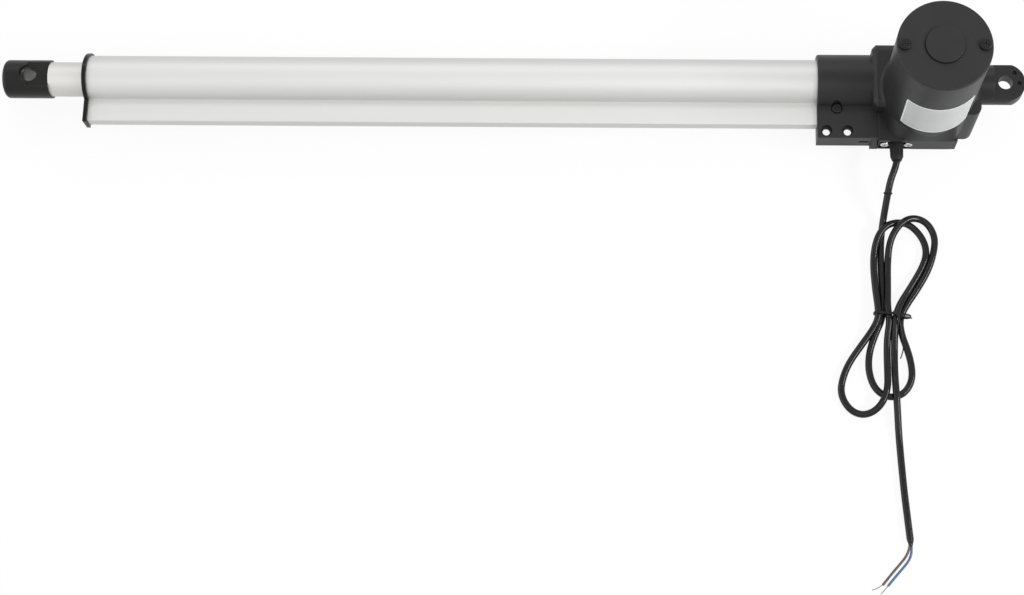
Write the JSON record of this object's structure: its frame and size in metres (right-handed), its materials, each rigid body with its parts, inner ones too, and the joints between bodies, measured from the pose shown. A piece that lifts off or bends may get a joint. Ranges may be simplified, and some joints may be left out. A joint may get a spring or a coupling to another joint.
{
  "type": "electric linear actuator",
  "caption": "Electric linear actuator: a motor on a gear housing drives a lead screw that extends a rod from a keyhole-section tube, with pin eyes at both ends and a tied cord.",
  "frame": {"origin": "centre of the rear tang's pin hole, on the axis of the tube", "axes": "+X along the tube to the rod's eye, the way the rod extends; +Y to the side of the wiring channel and the cord; +Z along the motor, parallel to the pin holes"},
  "size_m": [0.7278, 0.3844, 0.127],
  "materials": {
    "housing": "satin black moulded plastic",
    "tube": "satin anodised, natural",
    "rod": "satin, natural",
    "fitting": "satin black coating",
    "zinc": "bright zinc plate",
    "black_screw": "black oxide",
    "jacket": "black flexible jacket, slight gloss",
    "brown_core": "brown insulation",
    "blue_core": "blue insulation",
    "rubber": "matt",
    "steel": "turned",
    "bronze": "turned",
    "nylon": "natural nylon",
    "magnet": "sintered",
    "copper": "enamelled copper",
    "board": "circuit board"
  },
  "bodies": {
    "frame": {"gear_housing": "housing", "outer_tube": "tube", "front_cap": "housing", "rod_wiper": "rubber", "guide_bush": "nylon", "rear_tang": "fitting", "rear_bearing": "steel", "front_bearing": "steel", "bearing_retainer": "steel", "worm_bush": "bronze", "motor_can": "steel", "front_magnet": "magnet", "rear_magnet": "magnet", "brush_plate": "nylon", "motor_damper": "rubber", "motor_cap": "housing", "front_cap_screw": "black_screw", "rear_cap_screw": "black_screw", "tube_screw": "black_screw", "front_gland_screw": "zinc", "rear_gland_screw": "zinc", "cable_gland": "rubber", "switch_strip": "board", "rear_switch": "nylon", "front_switch": "nylon", "cable_lead": "jacket", "cable_hank": "jacket", "cable_tail": "jacket", "brown_wire": "brown_core", "blue_wire": "blue_core"},
    "screw": {"lead_screw": "steel", "tip_bush": "nylon", "worm_wheel": "nylon", "rear_spacer": "steel", "front_spacer": "steel", "rear_race": "steel", "front_race": "steel"},
    "armature": {"worm_shaft": "steel", "armature_core": "steel", "lower_winding": "copper", "upper_winding": "copper", "commutator": "copper"},
    "ram": {"rod": "rod", "front_eye": "fitting", "drive_nut": "bronze"}
  },
  "joints": [
    {"name": "motor_spin", "type": "hinge", "parent": "frame", "child": "armature", "pos_m": [0.0573, 0.013, 0], "axis": [0, 0, 1], "range_deg": [0, 900000]},
    {"name": "screw_spin", "type": "hinge", "parent": "frame", "child": "screw", "pos_m": [0, 0, 0], "axis": [-1, 0, 0], "range_deg": [0, 45000]},
    {"name": "rod_slide", "type": "slide", "parent": "frame", "child": "ram", "axis": [1, 0, 0], "range_m": [0, 0.5]}
  ],
  "couplings": [
    {"joint": "screw_spin", "follows": "motor_spin", "ratio": 0.05},
    {"joint": "rod_slide", "follows": "motor_spin", "m_per_rad": 0.000031831}
  ]
}
